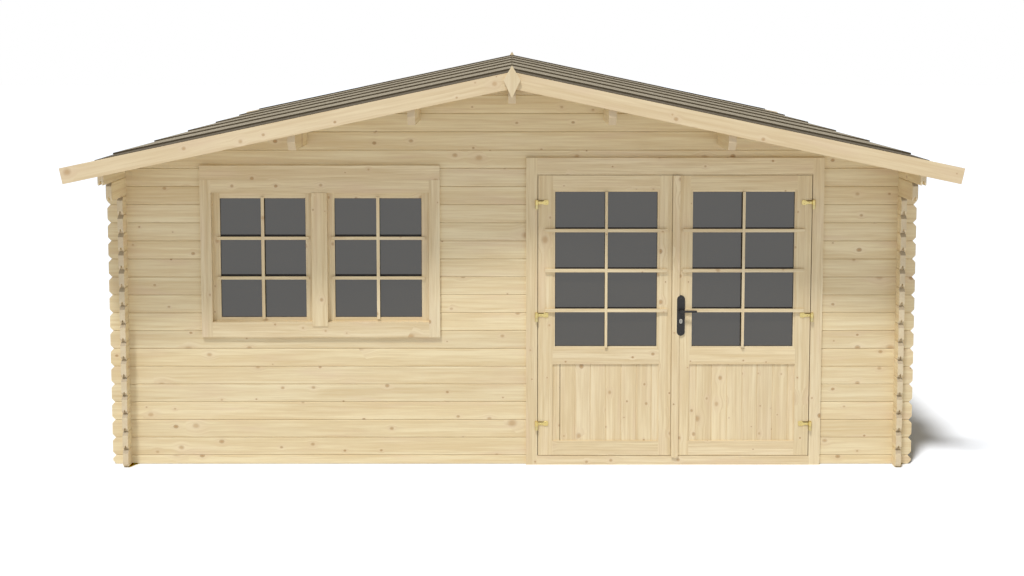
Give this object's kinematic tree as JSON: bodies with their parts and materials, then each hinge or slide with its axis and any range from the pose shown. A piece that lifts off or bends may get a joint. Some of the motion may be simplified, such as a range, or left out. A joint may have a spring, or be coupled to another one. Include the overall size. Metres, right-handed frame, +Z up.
{
  "type": "garden house, log cabin with a gable roof, a glazed double door and a double window",
  "caption": "Square log cabin garden house with low gable roof, lapped roofing, glazed double door that opens outwards, and a fixed double window",
  "frame": {"origin": "centre of the footprint, on the ground under the walls", "axes": "+Z up; the front wall with the door faces -Y; +X to the right as seen from the front; the ridge runs along Y"},
  "size_m": [5.32, 5.916, 2.5312],
  "materials": {
    "spruce_logs": "planed, untreated",
    "planed_spruce": "planed, untreated",
    "spruce_boards": "planed, untreated",
    "bearer_wood": "sawn, treated",
    "roofing_felt": "mineral granules, matt",
    "grey_glass": "smooth, dark",
    "hinge_brass": "plated, satin",
    "charcoal_metal": "satin",
    "lock_steel": "satin"
  },
  "bodies": {
    "house": {"front_wall_lower": "spruce_logs", "front_wall_left": "spruce_logs", "front_wall_middle": "spruce_logs", "front_wall_over_window": "spruce_logs", "front_wall_right": "spruce_logs", "front_gable": "spruce_logs", "back_wall": "spruce_logs", "back_gable": "spruce_logs", "left_wall": "spruce_logs", "right_wall": "spruce_logs", "left_wall_plates": "spruce_logs", "right_wall_plates": "spruce_logs", "purlins": "spruce_boards", "roof_boards_left": "spruce_boards", "roof_boards_right": "spruce_boards", "roofing_left": "roofing_felt", "roofing_right": "roofing_felt", "front_barges": "planed_spruce", "back_barges": "planed_spruce", "finials": "planed_spruce", "floor_bearers": "bearer_wood", "floor_boards": "spruce_boards", "door_post_left": "planed_spruce", "door_post_right": "planed_spruce", "door_head": "planed_spruce", "door_threshold": "planed_spruce", "hinge_pins": "hinge_brass", "window_post_left": "planed_spruce", "window_post_right": "planed_spruce", "window_head": "planed_spruce", "window_sill": "planed_spruce", "window_mullion": "planed_spruce", "window_sashes": "planed_spruce", "window_glass": "grey_glass", "window_bars": "planed_spruce"},
    "left_door": {"left_door_stiles": "planed_spruce", "left_door_rails": "planed_spruce", "left_door_panel": "spruce_boards", "left_door_beads": "planed_spruce", "left_door_glass": "grey_glass", "left_door_bars": "planed_spruce", "left_door_hinges": "hinge_brass"},
    "right_door": {"right_door_stiles": "planed_spruce", "right_door_rails": "planed_spruce", "right_door_panel": "spruce_boards", "right_door_beads": "planed_spruce", "right_door_glass": "grey_glass", "right_door_bars": "planed_spruce", "right_door_hinges": "hinge_brass", "right_door_cover_strip": "planed_spruce", "handle_plates": "charcoal_metal", "lock_faces": "lock_steel"},
    "lever": {"door_handle": "charcoal_metal"}
  },
  "joints": [
    {"name": "left_door_swing", "type": "hinge", "parent": "house", "child": "left_door", "pos_m": [0.154, -2.4683, 1], "axis": [0, 0, -1], "range_deg": [0, 110]},
    {"name": "right_door_swing", "type": "hinge", "parent": "house", "child": "right_door", "pos_m": [1.877, -2.4683, 1], "axis": [0, 0, 1], "range_deg": [0, 110]},
    {"name": "lever_turn", "type": "hinge", "parent": "right_door", "child": "lever", "pos_m": [1.057, -2.437, 0.987], "axis": [0, 1, 0], "range_deg": [0, 45], "stiffness_Nm_per_rad": 1.5}
  ]
}
